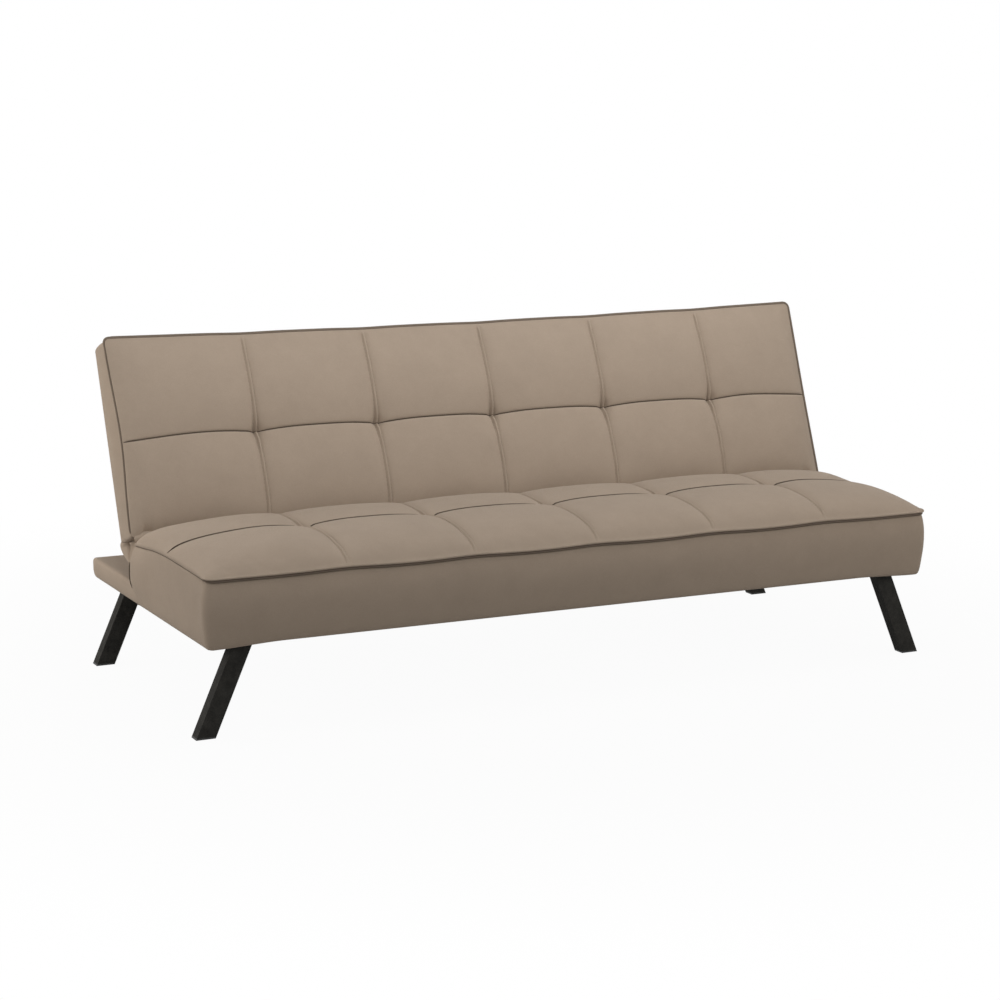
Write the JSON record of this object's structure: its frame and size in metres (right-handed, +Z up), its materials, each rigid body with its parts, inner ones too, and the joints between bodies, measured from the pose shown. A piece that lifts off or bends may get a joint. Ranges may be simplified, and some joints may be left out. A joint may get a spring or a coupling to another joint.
{
  "type": "sofa bed",
  "caption": "Armless sofa bed with a quilted seat and a quilted one-piece back that folds flat over a low rear shelf, on splayed black tube legs.",
  "frame": {"origin": "on the floor, under the middle of the overall box", "axes": "+X along the sofa to the right as seen from the front, +Y towards the rear, +Z up"},
  "size_m": [1.831, 0.79, 0.778],
  "materials": {
    "upholstery": "matte smooth woven-look cover with sewn seams",
    "piping": "matte fabric over cord",
    "foam": "open-cell foam",
    "felt": "needled felt",
    "dust_cloth": "spun-bonded black cloth",
    "webbing": "elastic woven strap",
    "timber": "planed softwood",
    "plywood": "sanded ply",
    "spring_steel": "oiled spring wire",
    "clip_plastic": "moulded, satin",
    "leg_paint": "black powder coat, satin",
    "foot_plastic": "moulded black, matte",
    "zinc_steel": "zinc plated",
    "washer_nylon": "natural nylon"
  },
  "bodies": {
    "base": {"base_center_beam": "timber", "base_end_rail_left": "timber", "base_end_rail_right": "timber", "base_front_rail": "timber", "base_rear_rail": "timber", "base_shelf_rail": "timber", "base_shelf_stringers": "timber", "dust_cover": "dust_cloth", "foot_cap_front_left": "foot_plastic", "foot_cap_front_right": "foot_plastic", "foot_cap_rear_left": "foot_plastic", "foot_cap_rear_right": "foot_plastic", "hinge_detent_rivets": "zinc_steel", "hinge_detent_spring_left": "spring_steel", "hinge_detent_spring_right": "spring_steel", "hinge_gusset_left": "upholstery", "hinge_gusset_right": "upholstery", "hinge_pivot_pin_left": "zinc_steel", "hinge_pivot_pin_right": "zinc_steel", "hinge_seat_plate_left": "zinc_steel", "hinge_seat_plate_right": "zinc_steel", "hinge_seat_screws": "zinc_steel", "hinge_washer_left": "washer_nylon", "hinge_washer_right": "washer_nylon", "leg_blocks": "timber", "leg_bolts": "zinc_steel", "leg_front_left": "leg_paint", "leg_front_right": "leg_paint", "leg_rear_left": "leg_paint", "leg_rear_right": "leg_paint", "leg_tee_nuts": "zinc_steel", "seat_cover": "upholstery", "seat_felt_pad": "felt", "seat_foam": "foam", "seat_sinuous_springs": "spring_steel", "seat_spring_clips": "clip_plastic", "seat_welt": "piping", "shelf_cover": "upholstery", "shelf_panel": "plywood"},
    "backrest": {"back_bottom_rail": "timber", "back_cover": "upholstery", "back_cross_webbing": "webbing", "back_end_rail_left": "timber", "back_end_rail_right": "timber", "back_foam": "foam", "back_rear_cover": "upholstery", "back_stiles": "timber", "back_top_rail": "timber", "back_upright_webbing": "webbing", "back_welt": "piping", "hinge_back_plate_left": "zinc_steel", "hinge_back_plate_right": "zinc_steel", "hinge_back_screws": "zinc_steel"}
  },
  "joints": [
    {"name": "backrest_tilt", "type": "hinge", "parent": "base", "child": "backrest", "pos_m": [0, 0.085, 0.345], "axis": [-1, 0, 0], "range_deg": [-12, 68.4], "deforming": ["hinge_detent_spring_left", "hinge_detent_spring_right", "hinge_gusset_left", "hinge_gusset_right"]}
  ]
}
